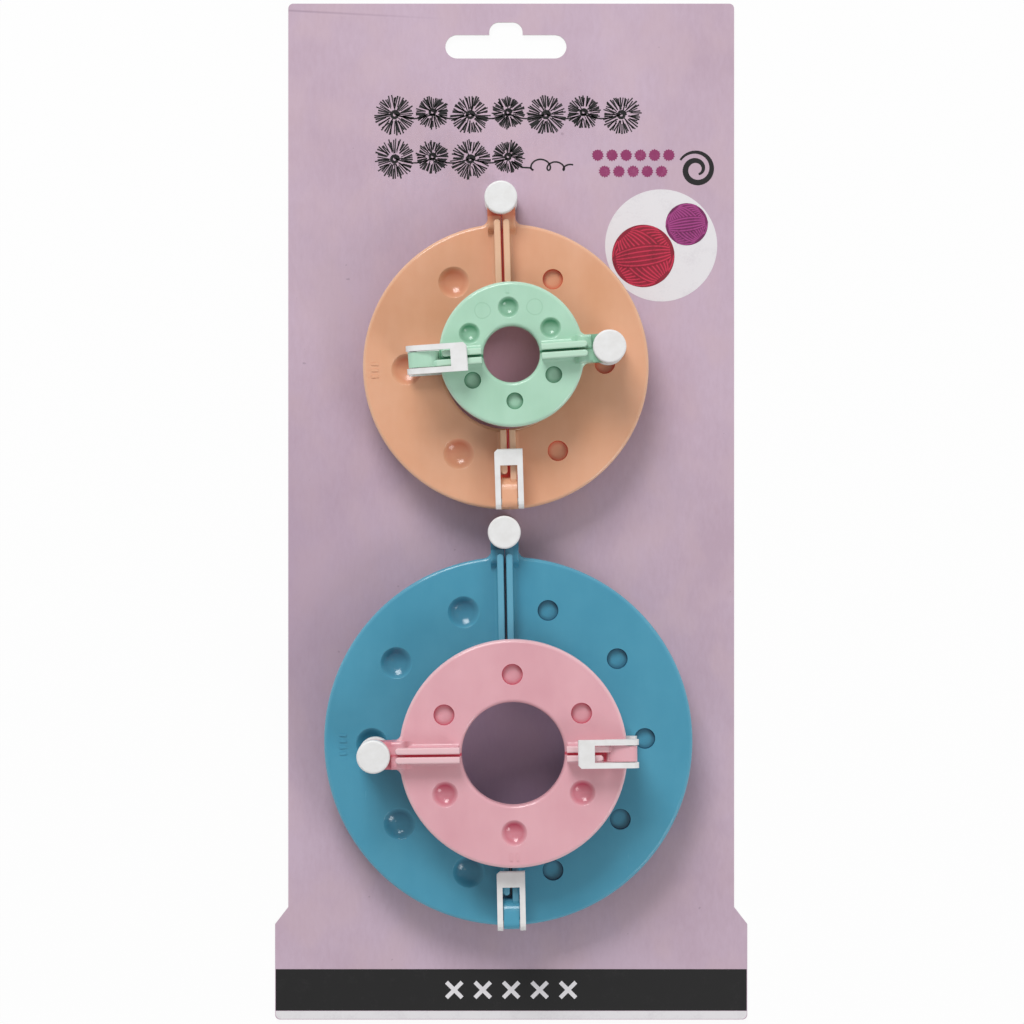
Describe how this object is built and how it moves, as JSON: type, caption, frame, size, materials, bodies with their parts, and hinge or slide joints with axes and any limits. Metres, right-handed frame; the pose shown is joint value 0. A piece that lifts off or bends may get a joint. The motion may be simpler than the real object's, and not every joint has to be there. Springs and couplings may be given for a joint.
{
  "type": "pom pom maker set",
  "caption": "Pom-pom maker set on a hang card: hinged ring makers with flip-up clips, stacked crosswise in pairs.",
  "frame": {"origin": "middle of the card's back, under the middle of the whole part", "axes": "+X to the right of the card as it hangs, +Y up towards the hang slot, +Z out of the card's printed face"},
  "size_m": [0.1162, 0.25, 0.0332],
  "materials": {
    "printed_card": "satin",
    "white_plastic": "satin",
    "blue_plastic": "gloss",
    "orange_plastic": "gloss",
    "pink_plastic": "gloss",
    "mint_plastic": "gloss"
  },
  "bodies": {
    "card": {"card": "printed_card"},
    "blue_rear": {"blue_rear_post": "white_plastic"},
    "blue_rear_plain": {"blue_rear_plain_arm": "blue_plastic"},
    "blue_rear_tongue": {"blue_rear_tongue_arm": "blue_plastic", "blue_rear_clip": "white_plastic"},
    "blue_front": {"blue_front_post": "white_plastic"},
    "blue_front_plain": {"blue_front_plain_arm": "blue_plastic"},
    "blue_front_tongue": {"blue_front_tongue_arm": "blue_plastic"},
    "blue_front_latch": {"blue_front_clip": "white_plastic"},
    "orange_rear": {"orange_rear_post": "white_plastic"},
    "orange_rear_plain": {"orange_rear_plain_arm": "orange_plastic"},
    "orange_rear_tongue": {"orange_rear_tongue_arm": "orange_plastic", "orange_rear_clip": "white_plastic"},
    "orange_front": {"orange_front_post": "white_plastic"},
    "orange_front_plain": {"orange_front_plain_arm": "orange_plastic"},
    "orange_front_tongue": {"orange_front_tongue_arm": "orange_plastic"},
    "orange_front_latch": {"orange_front_clip": "white_plastic"},
    "pink_rear": {"pink_rear_post": "white_plastic"},
    "pink_rear_plain": {"pink_rear_plain_arm": "pink_plastic"},
    "pink_rear_tongue": {"pink_rear_tongue_arm": "pink_plastic", "pink_rear_clip": "white_plastic"},
    "pink_front": {"pink_front_post": "white_plastic"},
    "pink_front_plain": {"pink_front_plain_arm": "pink_plastic"},
    "pink_front_tongue": {"pink_front_tongue_arm": "pink_plastic"},
    "pink_front_latch": {"pink_front_clip": "white_plastic"},
    "mint_rear": {"mint_rear_post": "white_plastic"},
    "mint_rear_plain": {"mint_rear_plain_arm": "mint_plastic"},
    "mint_rear_tongue": {"mint_rear_tongue_arm": "mint_plastic", "mint_rear_clip": "white_plastic"},
    "mint_front": {"mint_front_post": "white_plastic"},
    "mint_front_plain": {"mint_front_plain_arm": "mint_plastic"},
    "mint_front_tongue": {"mint_front_tongue_arm": "mint_plastic"},
    "mint_front_latch": {"mint_front_clip": "white_plastic"}
  },
  "joints": [
    {"name": "blue_maker_lift", "type": "slide", "parent": "card", "child": "blue_rear", "axis": [0, 0, 1], "range_m": [0, 0.04]},
    {"name": "blue_rear_plain_arm_hinge", "type": "hinge", "parent": "blue_rear", "child": "blue_rear_plain", "pos_m": [-0.00168, -0.00501, 0.0108], "axis": [0, 0, 1], "range_deg": [0, 50]},
    {"name": "blue_rear_tongue_arm_hinge", "type": "hinge", "parent": "blue_rear", "child": "blue_rear_tongue", "pos_m": [-0.00168, -0.00501, 0.0108], "axis": [0, 0, -1], "range_deg": [0, 50]},
    {"name": "blue_front_half_lift", "type": "slide", "parent": "blue_rear", "child": "blue_front", "axis": [0, 0, 1], "range_m": [0, 0.02]},
    {"name": "blue_front_plain_arm_hinge", "type": "hinge", "parent": "blue_front", "child": "blue_front_plain", "pos_m": [-0.00168, -0.00501, 0.0108], "axis": [0, 0, -1], "range_deg": [0, 50]},
    {"name": "blue_front_tongue_arm_hinge", "type": "hinge", "parent": "blue_front", "child": "blue_front_tongue", "pos_m": [-0.00168, -0.00501, 0.0108], "axis": [0, 0, 1], "range_deg": [0, 50]},
    {"name": "blue_front_clip_flip", "type": "hinge", "parent": "blue_front_tongue", "child": "blue_front_latch", "pos_m": [0.00014, -0.09969, 0.0186], "axis": [0.9998, 0.0192, 0], "range_deg": [0, 90]},
    {"name": "orange_maker_lift", "type": "slide", "parent": "card", "child": "orange_rear", "axis": [0, 0, 1], "range_m": [0, 0.04]},
    {"name": "orange_rear_plain_arm_hinge", "type": "hinge", "parent": "orange_rear", "child": "orange_rear_plain", "pos_m": [-0.00251, 0.07608, 0.0108], "axis": [0, 0, 1], "range_deg": [0, 100]},
    {"name": "orange_rear_tongue_arm_hinge", "type": "hinge", "parent": "orange_rear", "child": "orange_rear_tongue", "pos_m": [-0.00251, 0.07608, 0.0108], "axis": [0, 0, -1], "range_deg": [0, 100]},
    {"name": "orange_front_half_lift", "type": "slide", "parent": "orange_rear", "child": "orange_front", "axis": [0, 0, 1], "range_m": [0, 0.02]},
    {"name": "orange_front_plain_arm_hinge", "type": "hinge", "parent": "orange_front", "child": "orange_front_plain", "pos_m": [-0.00251, 0.07608, 0.0108], "axis": [0, 0, -1], "range_deg": [0, 100]},
    {"name": "orange_front_tongue_arm_hinge", "type": "hinge", "parent": "orange_front", "child": "orange_front_tongue", "pos_m": [-0.00251, 0.07608, 0.0108], "axis": [0, 0, 1], "range_deg": [0, 100]},
    {"name": "orange_front_clip_flip", "type": "hinge", "parent": "orange_front_tongue", "child": "orange_front_latch", "pos_m": [-0.00032, 0.00241, 0.0186], "axis": [0.9996, 0.0297, 0], "range_deg": [0, 90]},
    {"name": "pink_maker_lift", "type": "slide", "parent": "blue_front", "child": "pink_rear", "axis": [0, 0, 1], "range_m": [0, 0.04]},
    {"name": "pink_rear_plain_arm_hinge", "type": "hinge", "parent": "pink_rear", "child": "pink_rear_plain", "pos_m": [-0.033, -0.05866, 0.0234], "axis": [0, 0, 1], "range_deg": [0, 32]},
    {"name": "pink_rear_tongue_arm_hinge", "type": "hinge", "parent": "pink_rear", "child": "pink_rear_tongue", "pos_m": [-0.033, -0.05866, 0.0234], "axis": [0, 0, -1], "range_deg": [0, 32]},
    {"name": "pink_front_half_lift", "type": "slide", "parent": "pink_rear", "child": "pink_front", "axis": [0, 0, 1], "range_m": [0, 0.02]},
    {"name": "pink_front_plain_arm_hinge", "type": "hinge", "parent": "pink_front", "child": "pink_front_plain", "pos_m": [-0.033, -0.05866, 0.0234], "axis": [0, 0, -1], "range_deg": [0, 100]},
    {"name": "pink_front_tongue_arm_hinge", "type": "hinge", "parent": "pink_front", "child": "pink_front_tongue", "pos_m": [-0.033, -0.05866, 0.0234], "axis": [0, 0, 1], "range_deg": [0, 100]},
    {"name": "pink_front_clip_flip", "type": "hinge", "parent": "pink_front_tongue", "child": "pink_front_latch", "pos_m": [0.0288, -0.0579, 0.0312], "axis": [-0.0122, 0.9999, 0], "range_deg": [0, 90]},
    {"name": "mint_maker_lift", "type": "slide", "parent": "orange_front", "child": "mint_rear", "axis": [0, 0, 1], "range_m": [0, 0.04]},
    {"name": "mint_rear_plain_arm_hinge", "type": "hinge", "parent": "mint_rear", "child": "mint_rear_plain", "pos_m": [0.02354, 0.03954, 0.0234], "axis": [0, 0, 1], "range_deg": [0, 26]},
    {"name": "mint_rear_tongue_arm_hinge", "type": "hinge", "parent": "mint_rear", "child": "mint_rear_tongue", "pos_m": [0.02354, 0.03954, 0.0234], "axis": [0, 0, -1], "range_deg": [0, 26]},
    {"name": "mint_front_half_lift", "type": "slide", "parent": "mint_rear", "child": "mint_front", "axis": [0, 0, 1], "range_m": [0, 0.02]},
    {"name": "mint_front_plain_arm_hinge", "type": "hinge", "parent": "mint_front", "child": "mint_front_plain", "pos_m": [0.02354, 0.03954, 0.0234], "axis": [0, 0, -1], "range_deg": [0, 100]},
    {"name": "mint_front_tongue_arm_hinge", "type": "hinge", "parent": "mint_front", "child": "mint_front_tongue", "pos_m": [0.02354, 0.03954, 0.0234], "axis": [0, 0, 1], "range_deg": [0, 100]},
    {"name": "mint_front_clip_flip", "type": "hinge", "parent": "mint_front_tongue", "child": "mint_front_latch", "pos_m": [-0.02324, 0.03627, 0.0312], "axis": [0.0698, -0.9976, 0], "range_deg": [0, 90]}
  ]
}
